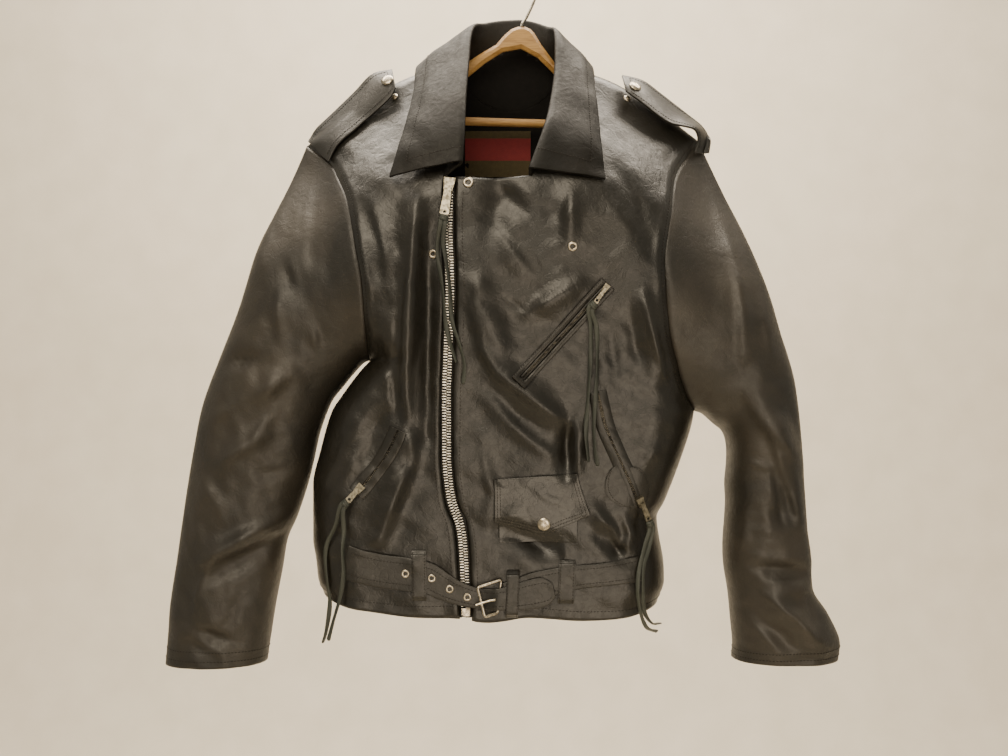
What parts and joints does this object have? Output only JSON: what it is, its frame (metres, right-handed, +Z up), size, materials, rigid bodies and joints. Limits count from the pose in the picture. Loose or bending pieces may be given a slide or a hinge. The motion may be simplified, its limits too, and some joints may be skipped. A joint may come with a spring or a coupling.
{
  "type": "faux leather biker jacket on a wooden hanger",
  "caption": "Black faux leather biker jacket with an off-centre zip, broad collar, shoulder straps, belt and zipped pockets, hung by the hook of its wooden hanger.",
  "frame": {"origin": "inner crown of the hanger's hook, where it sits on a rail or pin", "axes": "+Z up, -Y the way the jacket's front faces, +X towards the wearer's left"},
  "size_m": [0.7886, 0.194, 0.8276],
  "materials": {
    "leather": "black, worn soft, slightly shiny",
    "thong_leather": "greenish black, matt",
    "nickel": "nickel plate, a little worn",
    "zip_tape": "black woven tape under a metal chain",
    "wood": "honey varnish",
    "label_cloth": "woven, plain"
  },
  "bodies": {
    "jacket": {"front_right": "leather", "front_left": "leather", "back": "leather", "sleeve_right": "leather", "sleeve_left": "leather", "collar": "leather", "hanger_body": "wood", "hanger_bar": "wood", "hanger_hook": "nickel", "zip_main": "zip_tape", "snap_corner": "nickel", "snap_lapel_right": "nickel", "snap_lapel_left": "nickel", "eyelet_1": "nickel", "eyelet_2": "nickel", "eyelet_3": "nickel", "eyelet_4": "nickel", "slider_main": "nickel", "slider_chest": "nickel", "slider_left": "nickel", "slider_right": "nickel", "zip_box": "nickel", "chest_welt": "leather", "chest_zip": "nickel", "pocket_left_zip": "nickel", "pocket_right_zip": "nickel", "pocket_left_patch_inner": "leather", "pocket_left_patch_outer": "leather", "coin_pocket": "leather", "coin_flap": "leather", "coin_cap": "nickel", "belt_right": "leather", "belt_left": "leather", "belt_loop_right": "leather", "belt_loop_left": "leather", "belt_keeper": "leather", "buckle_frame": "nickel", "buckle_prong": "nickel", "epaulette_right": "leather", "epaulette_cap_right": "nickel", "epaulette_left": "leather", "epaulette_cap_left": "nickel", "shoulder_stud_right": "nickel", "shoulder_stud_left": "nickel", "neck_label": "label_cloth", "thong_main_a": "thong_leather", "thong_main_b": "thong_leather", "thong_chest_a": "thong_leather", "thong_chest_b": "thong_leather", "thong_left_a": "thong_leather", "thong_left_b": "thong_leather", "thong_right_a": "thong_leather", "thong_right_b": "thong_leather"},
    "pull_main": {"tab_main": "nickel"},
    "pull_chest": {"tab_chest": "nickel"},
    "pull_left": {"tab_left": "nickel"},
    "pull_right": {"tab_right": "nickel"}
  },
  "joints": [
    {"name": "pull_main_hinge", "type": "hinge", "parent": "jacket", "child": "pull_main", "pos_m": [-0.08078, -0.13711, -0.27977], "axis": [-0.9902, 0.0724, 0.1194], "range_deg": [0, 140]},
    {"name": "pull_chest_hinge", "type": "hinge", "parent": "jacket", "child": "pull_chest", "pos_m": [0.09019, -0.13939, -0.39339], "axis": [-0.8121, -0.0656, 0.5798], "range_deg": [0, 170]},
    {"name": "pull_left_hinge", "type": "hinge", "parent": "jacket", "child": "pull_left", "pos_m": [0.13256, -0.11729, -0.62981], "axis": [-0.845, -0.27, -0.4616], "range_deg": [0, 170]},
    {"name": "pull_right_hinge", "type": "hinge", "parent": "jacket", "child": "pull_right", "pos_m": [-0.18142, -0.12196, -0.61409], "axis": [-0.7479, 0.1019, 0.6559], "range_deg": [0, 170]}
  ]
}
